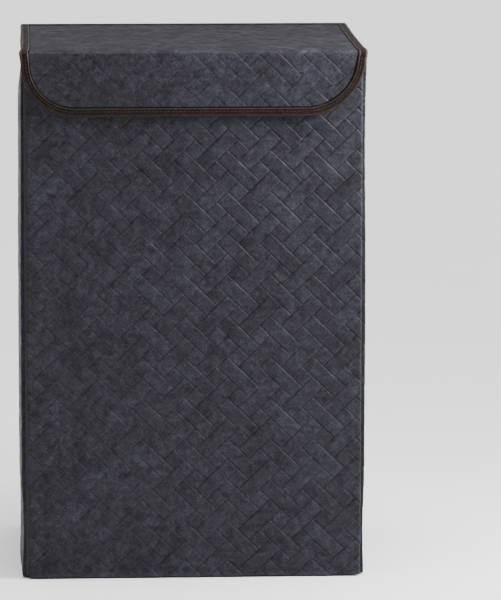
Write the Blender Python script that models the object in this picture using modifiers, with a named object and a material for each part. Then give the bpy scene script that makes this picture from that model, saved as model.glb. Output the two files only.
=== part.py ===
"""Fold-flat laundry hamper with a hinged lid and a front flap.

Six covered boards make the walls: front, back, and two halves for each side.
Soft seams join them, so the side walls fold inwards and the front wall closes
on the back wall.  A floor panel lifts against the back wall, the lid turns on
the back rim and its flap turns on the lid's front edge.

+X is to the right, +Y to the back, +Z up.  The origin is on the floor, in the
middle of the base.  Units are metres.
"""
import math

import bmesh
import bpy
from mathutils import Matrix, Vector

# ---- driving dimensions -----------------------------------------------------
BODY_WIDTH = 0.400        # front and back walls, edge to edge
BODY_DEPTH = 0.300        # outer face of the front wall to outer face of the back wall
WALL_TOP = 0.6215         # top edge of the walls, under their bound rims
SIDE_BULGE = 0.0050       # outer face of a side wall beyond the front wall's edge, at mid-depth
CORNER_STEP = 0.0013      # and beyond it at the corners
LID_TOP = 0.630           # outer face of the lid's cover
LID_WIDTH = 0.4000        # lid and flap boards with their covers, without the binding
FLAP_DROP = 0.0747        # lid's outer face to the flap's bottom edge, without the binding
FLAP_CORNER_WIDTH = 0.066  # the flap's lower corners are quarter ellipses
FLAP_CORNER_HEIGHT = 0.068

# ---- sheet thicknesses and gaps ---------------------------------------------
GAP = 0.0003
COVER = 0.0012
LINING = 0.0008
WALL_BOARD = 0.0030
LID_BOARD = 0.0024
BINDING = 0.0010
BINDING_REACH = 0.0105    # how far a binding covers the faces, measured from its outer edge
EDGE_ROUND = 0.0008       # rounded edges of every cover
WALL = COVER + GAP + WALL_BOARD + GAP + LINING
PANEL = COVER + GAP + LID_BOARD + GAP + LINING
PROUD = BINDING + GAP     # how far a binding stands out from the faces it covers

# ---- floor panel ------------------------------------------------------------
BASE_COVER = 0.0005
BASE_BOARD = 0.0012
BASE_THICKNESS = BASE_COVER + GAP + BASE_BOARD
BASE_WIDTH = 0.380
BASE_FRONT = -0.141
FOLD_CLEARANCE = 0.0024   # bottom edges of the walls that fold across the floor panel
FOOT_WIDTH = 0.009        # the front wall reaches the floor only beside the floor panel
BASE_AXIS = Vector((0.0, 0.1426, 0.0012))
BASE_SEAM_RADIUS = 0.0009
BASE_SEAM_ROOM = 0.0012

# ---- soft seams, each a slim round bead on its joint's axis ------------------
CORNER_INSET = 0.006      # corner axes lie this far inside the front and back walls
SEAM_RADIUS = 0.0020
FOLD_RADIUS = 0.0015
FOLD_OFFSET = 0.0015      # middle axes lie this far outside the side walls' outer faces
CORNER_ROOM = 0.0040      # a side wall starts this far from its corner axis
FOLD_ROOM = 0.0012        # and ends this far from its middle axis
LID_ROOM = 0.0028         # lid and flap start this far from their axes
TRIM_ROOM = 0.0045        # and their bindings this far
LID_HINGE_TRIM_ROOM = 0.006
RIM_TAIL = 0.028          # length of the tail that turns down the corner edge
FLAP_STANDOFF = 0.0039    # flap's inner face in front of the front wall

INNER_Y = BODY_DEPTH / 2 - WALL
CORNER_Y = INNER_Y - CORNER_INSET
SIDE_CORNER_OUTER = BODY_WIDTH / 2 + CORNER_STEP
CORNER_X = SIDE_CORNER_OUTER - WALL
FOLD_X = BODY_WIDTH / 2 + SIDE_BULGE + FOLD_OFFSET
HALF_SPAN = math.hypot(FOLD_X - CORNER_X, CORNER_Y)
HALF_LENGTH = math.sqrt(HALF_SPAN ** 2 - (WALL + FOLD_OFFSET) ** 2)
SIDE_TILT = math.atan2(FOLD_X - CORNER_X, CORNER_Y) - math.atan2(WALL + FOLD_OFFSET, HALF_LENGTH)

LID_AXIS = Vector((0.0, BODY_DEPTH / 2 + 0.002, LID_TOP - PANEL / 2))
FLAP_AXIS = Vector((0.0, -BODY_DEPTH / 2 - FLAP_STANDOFF - PANEL / 2, LID_TOP - PANEL / 2))

COLLECTION = "laundry_hamper"

SLOTS = {                 # base colour, roughness
    "woven_cover": ((0.040, 0.044, 0.056), 0.55),
    "edge_binding": ((0.030, 0.018, 0.014), 0.45),
    "lining": ((0.030, 0.031, 0.035), 0.95),
    "board": ((0.25, 0.19, 0.13), 0.90),
    "seam": ((0.020, 0.021, 0.027), 0.60),
}


# ---- scene helpers ----------------------------------------------------------
def clear_scene():
    for obj in list(bpy.data.objects):
        bpy.data.objects.remove(obj, do_unlink=True)


def new_collection(name):
    collection = bpy.data.collections.new(name)
    bpy.context.scene.collection.children.link(collection)
    return collection


def new_material(slot):
    colour, roughness = SLOTS[slot]
    material = bpy.data.materials.new(slot)
    material.use_nodes = True
    shader = material.node_tree.nodes["Principled BSDF"]
    shader.inputs["Base Color"].default_value = (*colour, 1.0)
    shader.inputs["Roughness"].default_value = roughness
    shader.inputs["Metallic"].default_value = 0.0
    material.diffuse_color = (*colour, 1.0)
    return material


def new_axis(name, location, turn=0.0):
    """An empty on a joint's axis: the parent of all pieces that turn about it."""
    empty = bpy.data.objects.new(name, None)
    empty.empty_display_size = 0.02
    empty.location = location
    empty.rotation_euler = (0.0, 0.0, turn)
    parts.objects.link(empty)
    return empty


def place(name, mesh, parent, slot=None):
    """Put a mesh in the scene: a part when it has a material slot, a cutter when it has none."""
    obj = bpy.data.objects.new(name, mesh)
    obj.parent = parent
    if slot:
        mesh.materials.append(materials[slot])
        parts.objects.link(obj)
    else:
        obj.hide_render = True
        obj.display_type = 'WIRE'
        cutters.objects.link(obj)
    return obj


def box_mesh(name, low, high):
    low, high = Vector(low), Vector(high)
    size = high - low
    bm = bmesh.new()
    bmesh.ops.create_cube(bm, size=1.0)
    bmesh.ops.scale(bm, vec=size, verts=bm.verts)
    bmesh.ops.translate(bm, vec=(low + high) / 2, verts=bm.verts)
    mesh = bpy.data.meshes.new(name)
    bm.to_mesh(mesh)
    bm.free()
    return mesh


def bead_mesh(name, start, end, radius):
    """A round bar from start to end."""
    start, end = Vector(start), Vector(end)
    along = end - start
    bm = bmesh.new()
    bmesh.ops.create_cone(bm, cap_ends=True, segments=16, radius1=radius, radius2=radius,
                          depth=along.length)
    turn = Vector((0.0, 0.0, 1.0)).rotation_difference(along).to_matrix().to_4x4()
    bmesh.ops.transform(bm, matrix=Matrix.Translation((start + end) / 2) @ turn, verts=bm.verts)
    mesh = bpy.data.meshes.new(name)
    bm.to_mesh(mesh)
    bm.free()
    mesh.shade_smooth()
    mesh.set_sharp_from_angle(angle=math.radians(40))
    return mesh


def plate_mesh(name, outline, front, back):
    """A flat outline of (x, z) points, standing up and reaching from y = front to y = back."""
    curve = bpy.data.curves.new(name, 'CURVE')
    curve.dimensions = '2D'
    curve.fill_mode = 'BOTH'
    curve.extrude = (back - front) / 2
    spline = curve.splines.new('POLY')
    spline.points.add(len(outline) - 1)
    for point, (x, z) in zip(spline.points, outline):
        point.co = (x, z, 0.0, 1.0)
    spline.use_cyclic_u = True
    guide = bpy.data.objects.new(name, curve)
    bpy.context.scene.collection.objects.link(guide)
    bpy.context.view_layer.update()
    evaluated = guide.evaluated_get(bpy.context.evaluated_depsgraph_get())
    mesh = bpy.data.meshes.new_from_object(evaluated)
    bpy.data.objects.remove(guide, do_unlink=True)
    bm = bmesh.new()
    bm.from_mesh(mesh)
    bmesh.ops.remove_doubles(bm, verts=bm.verts, dist=0.00001)
    stand = Matrix.Translation((0.0, (front + back) / 2, 0.0)) @ Matrix.Rotation(math.pi / 2, 4, 'X')
    bmesh.ops.transform(bm, matrix=stand, verts=bm.verts)
    bmesh.ops.recalc_face_normals(bm, faces=bm.faces)
    bm.to_mesh(mesh)
    bm.free()
    return mesh


def cut(obj, cutter):
    boolean = obj.modifiers.new("cut_" + cutter.name, 'BOOLEAN')
    boolean.operation = 'DIFFERENCE'
    boolean.solver = 'EXACT'
    boolean.object = cutter


def join(obj, other):
    boolean = obj.modifiers.new("join_" + other.name, 'BOOLEAN')
    boolean.operation = 'UNION'
    boolean.solver = 'EXACT'
    boolean.object = other


def round_edges(obj):
    bevel = obj.modifiers.new("rounded_edges", 'BEVEL')
    bevel.width = EDGE_ROUND
    bevel.segments = 2
    bevel.limit_method = 'ANGLE'
    bevel.angle_limit = math.radians(40)


# ---- covered boards ---------------------------------------------------------
# A covered board is a tray of cover sheet, open to the inner side, with the
# board and the lining lying in it.  "outward" is the axis across the board,
# 0 = x, 1 = y, 2 = z, and "sign" tells which way its outer face looks.
def slice_across(low, high, outward, sign, start, thickness):
    """The slice of a box between two depths under its outer face."""
    low, high = list(low), list(high)
    if sign > 0:
        high[outward] -= start
        low[outward] = high[outward] - thickness
    else:
        low[outward] += start
        high[outward] = low[outward] + thickness
    return low, high


def shrink(low, high, outward, margin):
    low, high = list(low), list(high)
    for axis in range(3):
        if axis != outward:
            low[axis] += margin
            high[axis] -= margin
    return low, high


def covered_board(name, parent, low, high, outward, sign, board, hem=0.0):
    """Cover tray, board and lining inside the box from low to high, the last two above the hem."""
    cover = place(name + "_cover", box_mesh(name + "_cover", low, high), parent, "woven_cover")
    round_edges(cover)
    depth = high[outward] - low[outward]
    pocket_low, pocket_high = shrink(low, high, outward, COVER)
    pocket_low, pocket_high = slice_across(pocket_low, pocket_high, outward, sign, COVER, 2 * depth)
    pocket_low[2] += hem
    cut(cover, place(name + "_pocket", box_mesh(name + "_pocket", pocket_low, pocket_high), parent))
    inner_low, inner_high = shrink(low, high, outward, COVER + GAP)
    inner_low[2] += hem
    depths = ((name + "_board", "board", COVER + GAP, board),
              (name + "_lining", "lining", depth - LINING, LINING))
    for piece, slot, start, thickness in depths:
        piece_low, piece_high = slice_across(inner_low, inner_high, outward, sign, start, thickness)
        place(piece, box_mesh(piece, piece_low, piece_high), parent, slot)
    return cover


def end_walls():
    """Front and back walls with their bound rims."""
    half = BODY_WIDTH / 2
    outer = BODY_DEPTH / 2
    for name, sign, hem in (("back", 1, 0.0), ("front", -1, FOLD_CLEARANCE)):
        faces = sorted((sign * INNER_Y, sign * outer))
        shift = axes[name].location.copy()
        low = Vector((-half, faces[0], 0.0)) - shift
        high = Vector((half, faces[1], WALL_TOP)) - shift
        cover = covered_board(name, axes[name], low, high, 1, sign, WALL_BOARD, hem)
        if hem:
            raise_hem(cover, low, high)
        rim_low = Vector((low.x, low.y - PROUD, high.z + PROUD - BINDING_REACH))
        rim_high = Vector((high.x, high.y + PROUD, high.z + PROUD))
        rim = place(name + "_rim_binding", box_mesh("rim", rim_low, rim_high), axes[name],
                    "edge_binding")
        room_low = Vector((low.x - GAP, low.y - GAP, low.z))
        room_high = Vector((high.x + GAP, high.y + GAP, high.z + GAP))
        cut(rim, place(name + "_rim_room", box_mesh("room", room_low, room_high), axes[name]))


def raise_hem(cover, low, high):
    """The front wall clears the floor panel as it folds; only its two bottom corners stand."""
    notch = box_mesh("notch", (low.x + FOOT_WIDTH, low.y - WALL, -WALL),
                     (high.x - FOOT_WIDTH, high.y + WALL, FOLD_CLEARANCE))
    cut(cover, place("front_notch", notch, axes["front"]))


def side_half(name, side, end):
    """One half of a side wall.  side is -1 for left and 1 for right, end is 1 for the rear half
    and -1 for the front half.  Its corner axis is the local origin, +X or -X looks outwards."""
    parent = axes[name]
    shift = side_half_shift(name, side, end)
    near = CORNER_ROOM
    far = HALF_LENGTH - FOLD_ROOM

    def corner_box(out_low, out_high, along_low, along_high, bottom, top):
        """A box from distances outwards from the inner face and along from the corner axis."""
        xs = sorted((side * out_low, side * out_high))
        ys = sorted((-end * along_low, -end * along_high))
        low = Vector((xs[0], ys[0], bottom)) + shift
        high = Vector((xs[1], ys[1], top)) + shift
        return low, high

    low, high = corner_box(0.0, WALL, near, far, FOLD_CLEARANCE, WALL_TOP)
    covered_board(name, parent, low, high, 0, side, WALL_BOARD)

    rim_bottom = WALL_TOP + PROUD - BINDING_REACH
    strip = corner_box(-PROUD, WALL + PROUD, near - PROUD, far - FOLD_ROOM,
                       rim_bottom, WALL_TOP + PROUD)
    tail = corner_box(-PROUD, WALL + PROUD, near - PROUD, near - PROUD + BINDING_REACH,
                      WALL_TOP - RIM_TAIL, rim_bottom + BINDING)
    room = corner_box(-GAP, WALL + GAP, near - GAP, far + FOLD_ROOM, 0.0, WALL_TOP + GAP)
    rim = place(name + "_rim_binding", box_mesh("rim", *strip), parent, "edge_binding")
    join(rim, place(name + "_rim_tail", box_mesh("tail", *tail), parent))
    cut(rim, place(name + "_rim_room", box_mesh("room", *room), parent))


def side_half_shift(name, side, end):
    """The corner axis in the half's own empty, which stands on its joint's axis."""
    corner = Vector((side * CORNER_X, end * CORNER_Y, 0.0))
    here = axes[name].location
    turn = Matrix.Rotation(-axes[name].rotation_euler.z, 3, 'Z')
    return turn @ (corner - here)


def standing_seams():
    """Upright seams at the corners and in the middle of the side walls."""
    bottom = FOLD_CLEARANCE + 0.002
    top = WALL_TOP - 0.001
    seams = (("back", "left_rear_corner_seam", -CORNER_X, CORNER_Y, SEAM_RADIUS),
             ("left_rear", "left_fold_seam", -FOLD_X, 0.0, FOLD_RADIUS),
             ("left_front", "left_front_corner_seam", -CORNER_X, -CORNER_Y, SEAM_RADIUS),
             ("front", "right_front_corner_seam", CORNER_X, -CORNER_Y, SEAM_RADIUS),
             ("right_front", "right_fold_seam", FOLD_X, 0.0, FOLD_RADIUS),
             ("back", "right_rear_corner_seam", CORNER_X, CORNER_Y, SEAM_RADIUS))
    for body, name, x, y, radius in seams:
        parent = axes[body]
        turn = Matrix.Rotation(-parent.rotation_euler.z, 3, 'Z')
        foot = turn @ (Vector((x, y, bottom)) - parent.location)
        head = turn @ (Vector((x, y, top)) - parent.location)
        place(name, bead_mesh(name, foot, head, radius), parent, "seam")


# ---- floor panel ------------------------------------------------------------
def floor_panel():
    half = BASE_WIDTH / 2
    parent = axes["base"]
    rear = BASE_AXIS.y - BASE_SEAM_ROOM
    low = Vector((-half, BASE_FRONT, 0.0)) - BASE_AXIS
    high = Vector((half, rear, BASE_THICKNESS)) - BASE_AXIS
    cover = place("base_cover", box_mesh("base_cover", low, high), parent, "lining")
    margin = Vector((COVER, COVER, 0.0))
    lift = Vector((0.0, 0.0, BASE_COVER))
    cut(cover, place("base_pocket", box_mesh("pocket", low + margin + lift,
                                             high - margin + lift), parent))
    margin = Vector((COVER + GAP, COVER + GAP, 0.0))
    lift = Vector((0.0, 0.0, BASE_COVER + GAP))
    place("base_board", box_mesh("base_board", low + margin + lift, high - margin), parent, "board")
    ends = (Vector((-half, 0.0, 0.0)), Vector((half, 0.0, 0.0)))
    place("base_hinge_seam", bead_mesh("base_hinge_seam", *ends, BASE_SEAM_RADIUS), parent, "seam")


# ---- lid and flap -----------------------------------------------------------
def lid_panel():
    half = LID_WIDTH / 2
    parent = axes["lid"]
    front = FLAP_AXIS.y - LID_AXIS.y + LID_ROOM
    low = Vector((-half, front, -PANEL / 2))
    high = Vector((half, -LID_ROOM, PANEL / 2))
    covered_board("lid", parent, low, high, 2, 1, LID_BOARD)
    trim_front = FLAP_AXIS.y - LID_AXIS.y + TRIM_ROOM
    for side, name in ((-1, "lid_left_binding"), (1, "lid_right_binding")):
        edge = side * (half + PROUD)
        xs = sorted((edge, edge - side * BINDING_REACH))
        trim = box_mesh(name, (xs[0], trim_front, -PANEL / 2 - PROUD),
                        (xs[1], -LID_HINGE_TRIM_ROOM, PANEL / 2 + PROUD))
        binding = place(name, trim, parent, "edge_binding")
        room = box_mesh("room", (-half - GAP, front, -PANEL / 2 - GAP),
                        (half + GAP, 0.0, PANEL / 2 + GAP))
        cut(binding, place(name + "_room", room, parent))
    ends = (Vector((-half, 0.0, 0.0)), Vector((half, 0.0, 0.0)))
    place("flap_fold_seam", bead_mesh("flap_fold_seam", *ends, SEAM_RADIUS), axes["flap"], "seam")
    hinge = bead_mesh("lid_hinge_seam", *(LID_AXIS + end for end in ends), SEAM_RADIUS)
    place("lid_hinge_seam", hinge, axes["back"], "seam")


def flap_outline(inset, top):
    """The flap's outline, seen from the front: straight sides and quarter-ellipse corners."""
    half = LID_WIDTH / 2 - inset
    bottom = LID_TOP - FLAP_DROP - FLAP_AXIS.z + inset
    across = FLAP_CORNER_WIDTH - PROUD - inset
    up = FLAP_CORNER_HEIGHT - PROUD - inset
    steps = 12
    outline = [(half, top)]
    for side in (1, -1):
        corner = []
        for step in range(steps + 1):
            angle = math.pi / 2 * step / steps
            corner.append((side * (half - across * (1 - math.cos(angle))),
                           bottom + up * (1 - math.sin(angle))))
        outline += corner if side > 0 else corner[::-1]
    outline.append((-half, top))
    return outline


def flap_panel():
    parent = axes["flap"]
    top = -LID_ROOM
    front, back = -PANEL / 2, PANEL / 2
    cover = place("flap_cover", plate_mesh("flap_cover", flap_outline(0.0, top), front, back),
                  parent, "woven_cover")
    pocket = plate_mesh("pocket", flap_outline(COVER, top - COVER), front + COVER, back + COVER)
    cut(cover, place("flap_pocket", pocket, parent))
    inner = flap_outline(COVER + GAP, top - COVER - GAP)
    board_front = front + COVER + GAP
    place("flap_board", plate_mesh("flap_board", inner, board_front, board_front + LID_BOARD),
          parent, "board")
    place("flap_lining", plate_mesh("flap_lining", inner, back - LINING, back), parent, "lining")

    trim_top = -TRIM_ROOM
    trim = plate_mesh("flap_binding", flap_outline(-PROUD, trim_top), front - PROUD, back + PROUD)
    binding = place("flap_binding", trim, parent, "edge_binding")
    room = plate_mesh("room", flap_outline(-GAP, 0.0), front - GAP, back + GAP)
    window = plate_mesh("window", flap_outline(BINDING_REACH - PROUD, 0.0), 2 * front, 2 * back)
    cut(binding, place("flap_binding_room", room, parent))
    cut(binding, place("flap_binding_window", window, parent))


# ---- build ------------------------------------------------------------------
clear_scene()
parts = new_collection(COLLECTION)
cutters = new_collection("cutters")
materials = {slot: new_material(slot) for slot in SLOTS}
axes = {
    "back": new_axis("back_origin", (0.0, 0.0, 0.0)),
    "left_rear": new_axis("left_rear_axis", (-CORNER_X, CORNER_Y, 0.0), -SIDE_TILT),
    "left_front": new_axis("left_fold_axis", (-FOLD_X, 0.0, 0.0), SIDE_TILT),
    "front": new_axis("left_front_axis", (-CORNER_X, -CORNER_Y, 0.0)),
    "right_front": new_axis("right_front_axis", (CORNER_X, -CORNER_Y, 0.0), -SIDE_TILT),
    "right_rear": new_axis("right_fold_axis", (FOLD_X, 0.0, 0.0), SIDE_TILT),
    "base": new_axis("base_axis", BASE_AXIS),
    "lid": new_axis("lid_axis", LID_AXIS),
    "flap": new_axis("flap_axis", FLAP_AXIS),
}
end_walls()
side_half("left_rear", -1, 1)
side_half("left_front", -1, -1)
side_half("right_front", 1, -1)
side_half("right_rear", 1, 1)
standing_seams()
floor_panel()
lid_panel()
flap_panel()
bpy.context.view_layer.update()
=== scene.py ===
"""Looks of the fold-flat laundry hamper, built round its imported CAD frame.

The covers are one embossed basket-weave sheet, made as a lattice of raised
bricks at 45 degrees and wrapped round each board.  Lengths are in metres, +X is
to the right, +Y to the back and +Z up, as in the CAD.

Each covered board is first made in its own board space: u runs to the right as
seen from outside, v runs up, and h stands out from the board's outer face.
"""
import math

import bmesh
import bpy
import numpy as np
from mathutils import Matrix, Vector


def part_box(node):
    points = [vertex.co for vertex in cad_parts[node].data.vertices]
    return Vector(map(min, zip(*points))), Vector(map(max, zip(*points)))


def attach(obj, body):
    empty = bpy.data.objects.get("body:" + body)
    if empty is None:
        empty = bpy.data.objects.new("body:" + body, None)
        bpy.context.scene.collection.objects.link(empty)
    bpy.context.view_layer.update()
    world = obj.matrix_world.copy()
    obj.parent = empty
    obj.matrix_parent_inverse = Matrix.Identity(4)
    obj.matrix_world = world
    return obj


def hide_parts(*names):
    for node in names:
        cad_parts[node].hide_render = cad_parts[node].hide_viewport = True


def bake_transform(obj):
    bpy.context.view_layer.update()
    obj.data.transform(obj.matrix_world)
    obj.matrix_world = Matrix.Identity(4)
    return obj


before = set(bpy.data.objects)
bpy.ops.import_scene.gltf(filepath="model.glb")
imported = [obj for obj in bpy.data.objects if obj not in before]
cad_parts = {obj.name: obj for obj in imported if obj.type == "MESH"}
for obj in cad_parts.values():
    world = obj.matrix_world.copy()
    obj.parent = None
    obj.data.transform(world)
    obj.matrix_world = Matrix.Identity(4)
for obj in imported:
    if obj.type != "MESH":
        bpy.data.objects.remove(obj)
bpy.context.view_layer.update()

# ---- places, read from the frame ---------------------------------------------
FRONT_LOW, FRONT_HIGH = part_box("front_cover")
LID_LOW, LID_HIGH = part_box("lid_cover")
FLAP_LOW, FLAP_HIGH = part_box("flap_cover")
BASE_LOW, BASE_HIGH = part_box("base_cover")


def middle(node):
    low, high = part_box(node)
    return (low + high) / 2


HALF_WIDTH = FRONT_HIGH.x
HALF_DEPTH = -FRONT_LOW.y
WALL = FRONT_HIGH.y - FRONT_LOW.y          # thickness of a covered wall board
WALL_TOP = FRONT_HIGH.z
HEM_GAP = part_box("left_front_cover")[0].z / 2.0   # the side walls end this far above the floor
PANEL = LID_HIGH.z - LID_LOW.z             # thickness of the lid and of the flap
CORNER = middle("right_rear_corner_seam")  # axis of a corner, mirrored for the others
FOLD = middle("right_fold_seam")           # axis in the middle of a side wall
FOLD_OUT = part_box("right_fold_seam")[0].x  # outer faces of the side walls, at mid-depth
CORNER_OUT = CORNER.x + WALL               # and at their corners
LID_AXIS = middle("lid_hinge_seam")
BASE_AXIS = middle("base_hinge_seam")
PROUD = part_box("flap_binding")[1].x - FLAP_HIGH.x    # a binding stands out this far
TAPE_REACH = LID_HIGH.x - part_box("lid_right_binding")[0].x     # and covers this much of a face
RIM_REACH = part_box("front_rim_binding")[1].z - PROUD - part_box("front_rim_binding")[0].z

SPAN = math.hypot(FOLD.x - CORNER.x, CORNER.y)
HALF_LENGTH = math.sqrt(SPAN ** 2 - (WALL + FOLD.x - FOLD_OUT) ** 2)
TILT = (math.atan2(FOLD.x - CORNER.x, CORNER.y)
        - math.atan2(WALL + FOLD.x - FOLD_OUT, HALF_LENGTH))

# ---- mesh helpers --------------------------------------------------------------
def mesh_of(name, points, faces, **values):
    """A mesh, with an attribute for each array of values at its points."""
    mesh = bpy.data.meshes.new(name)
    mesh.from_pydata(points, [], faces)
    for key, numbers in values.items():
        layer = mesh.attributes.new(key, "FLOAT", "POINT")
        layer.data.foreach_set("value", np.asarray(numbers, np.float32).ravel())
    return mesh


def grid_quads(shape):
    """The corners' numbers of every cell in a grid of points."""
    index = np.arange(math.prod(shape)).reshape(shape)
    return np.stack((index[:-1, :-1], index[1:, :-1], index[1:, 1:], index[:-1, 1:]), -1)


def as_bmesh(mesh):
    """The mesh as a bmesh; the mesh itself is let go."""
    bm = bmesh.new()
    bm.from_mesh(mesh)
    bpy.data.meshes.remove(mesh)
    return bm


def finish_mesh(bm, name):
    """The bmesh as a mesh whose faces point outwards."""
    bmesh.ops.recalc_face_normals(bm, faces=bm.faces)
    mesh = bpy.data.meshes.new(name)
    bm.to_mesh(mesh)
    bm.free()
    return mesh


def coordinates(mesh):
    points = np.empty(len(mesh.vertices) * 3, np.float32)
    mesh.vertices.foreach_get("co", points)
    return points.reshape(-1, 3).astype(float)


def set_coordinates(mesh, points):
    mesh.vertices.foreach_set("co", np.ascontiguousarray(points, np.float32).ravel())
    mesh.update()


def placed(bm, name, place):
    """The finished mesh of a bmesh in board space, put in the row frame by place(u, v, h)."""
    mesh = finish_mesh(bm, name)
    set_coordinates(mesh, place(*coordinates(mesh).T))
    return mesh


def cut_at(bm, point, normal, drop=False):
    """Cut a bmesh along a plane; with drop, also remove the side that the normal points to."""
    bmesh.ops.bisect_plane(bm, geom=bm.verts[:] + bm.edges[:] + bm.faces[:], dist=CUT_SLACK,
                           plane_co=point, plane_no=normal, clear_outer=drop)


def divide(bm, faces, levels):
    """Cut only these faces along lines of constant v, so that they can bend there."""
    for level in levels:
        verts = dict.fromkeys(vert for face in faces for vert in face.verts)
        edges = dict.fromkeys(edge for face in faces for edge in face.edges)
        cut = bmesh.ops.bisect_plane(bm, geom=[*verts, *edges, *faces], dist=CUT_SLACK,
                                     plane_co=(0.0, level, 0.0), plane_no=(0.0, 1.0, 0.0))
        faces = [item for item in cut["geom"] if isinstance(item, bmesh.types.BMFace)]


def close_sheet(bm, inner_points):
    """Close an open sheet: each function in turn gives the next ring inwards of its edge."""
    ring = [edge for edge in bm.edges if edge.is_boundary]
    for place in inner_points:
        made = bmesh.ops.extrude_edge_only(bm, edges=ring)["geom"]
        ring = [part for part in made if isinstance(part, bmesh.types.BMEdge)]
        for vert in {vert for edge in ring for vert in edge.verts}:
            vert.co = place(vert.co)
    return bmesh.ops.edgeloop_fill(bm, edges=ring)["faces"]


def add_object(name, data):
    obj = bpy.data.objects.new(name, data)
    bpy.context.scene.collection.objects.link(obj)
    return obj


def run_along(points):
    """The distance gone at each of these points in a plane."""
    return np.concatenate(((0.0,), np.cumsum(np.hypot(*np.diff(points, axis=0).T))))


def unit(vectors):
    return vectors / np.linalg.norm(vectors, axis=1)[:, None]


# ---- the embossed weave ------------------------------------------------------
PERIOD_X = 0.0505          # four bricks' widths along each diagonal
PERIOD_Z = 0.0491
FRONT_PHASE = (0.0020, 0.0090)
BACK_PHASE = (0.0180, 0.0310)
FLAP_PHASE = (0.0010, 0.0355)
LEFT_PHASE = (0.0100, 0.0090)
RIGHT_PHASE = (0.0250, 0.0200)
FRACTIONS = np.array((0.0, 0.06, 0.13, 0.5, 0.87, 0.94))   # lattice lines in one cell
CREST = 0.00030            # rise of a brick's middle over its ends
CROWN = 0.00010            # rise of its middle line over its long edges
GROOVE = 0.00048           # depth of the pressed line round each brick
SHEET = 0.0012             # the sheet's thickness
UNEVEN = 0.00006           # bricks differ this much in height
CUT_SLACK = 1e-6

# kind 0 is a single square, 1 a brick running down to the right, 2 one running up;
# offset tells how far a cell lies from its brick's middle cell
KIND = np.zeros((4, 4), int)
OFFSET = np.zeros((4, 4), int)
for row, cells in ((1, (1, 2, 3)), (3, (3, 0, 1))):
    for shift, cell in zip((-1, 0, 1), cells):
        KIND[row, cell] = 1
        OFFSET[row, cell] = shift
for cell, rows in ((0, (0, 1, 2)), (2, (2, 3, 0))):
    for shift, row in zip((-1, 0, 1), rows):
        KIND[row, cell] = 2
        OFFSET[row, cell] = shift


def smooth(t):
    t = np.clip(t, 0.0, 1.0)
    return t * t * (3.0 - 2.0 * t)


def waves(x, y, seed, size):
    """A gentle random swell between about -1 and 1, from a few crossing sine waves."""
    rng = np.random.default_rng(seed)
    total = np.zeros_like(x)
    for _ in range(7):
        angle, phase = rng.uniform(0.0, 2.0 * math.pi, 2)
        length = size * rng.uniform(0.6, 1.7)
        along = x * math.cos(angle) + y * math.sin(angle)
        total += np.sin(2.0 * math.pi * along / length + phase)
    return total / 3.5


def chance(a, b):
    """A repeatable random number between -1 and 1 for each pair of whole numbers."""
    value = np.sin(a * 12.9898 + b * 78.233) * 43758.5453
    return 2.0 * (value - np.floor(value)) - 1.0


def brick(a, b, cell, row):
    """Height, brick number and tone at places (a, b), taken as part of the given cell."""
    kind = KIND[row % 4, cell % 4]
    offset = OFFSET[row % 4, cell % 4]
    mid_a = cell - np.where(kind == 1, offset, 0)
    mid_b = row - np.where(kind == 2, offset, 0)
    off_a = a - mid_a - 0.5
    off_b = b - mid_b - 0.5
    along = np.where(kind == 1, off_a, off_b)
    across = np.where(kind == 1, off_b, off_a)
    arch = np.where(kind == 0, 0.25, np.cos(np.pi * np.clip(along, -1.5, 1.5) / 3.0))
    height = CREST * (arch - 1.0) - CROWN * (2.0 * across) ** 2
    height += UNEVEN * chance(mid_a, mid_b + 7)
    return height, mid_a * 1000 + mid_b, chance(mid_a, mid_b)


def evenly(u):
    return np.ones_like(u)


def deeper_to_the_right(left, right, start, run):
    """How strongly the weave is pressed in at u: it grows over a run that begins at start."""
    return lambda u: left + (right - left) * smooth((u - start) / run)


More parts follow.
